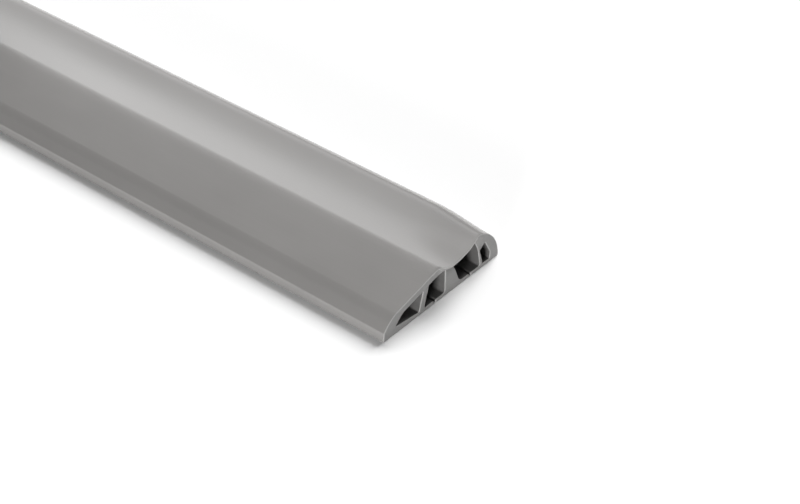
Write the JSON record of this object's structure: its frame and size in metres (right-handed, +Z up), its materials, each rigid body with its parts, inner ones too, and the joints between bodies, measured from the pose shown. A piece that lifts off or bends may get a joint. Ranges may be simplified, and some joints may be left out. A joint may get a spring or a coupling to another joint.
{
  "type": "flexible cable channel",
  "caption": "Straight length of soft low-profile floor cable channel with a long ramp, a rounded far side and slit-base cable chambers.",
  "frame": {"origin": "on the floor, below the middle of the channel's length and width", "axes": "+X along the length towards the hand-cut end, +Y across from the ramp's toe to the rounded far side, +Z up"},
  "size_m": [1, 0.0472, 0.0115],
  "materials": {
    "grey_pvc": "satin, smooth as extruded"
  },
  "bodies": {
    "root": {"cable_channel": "grey_pvc"}
  },
  "joints": []
}
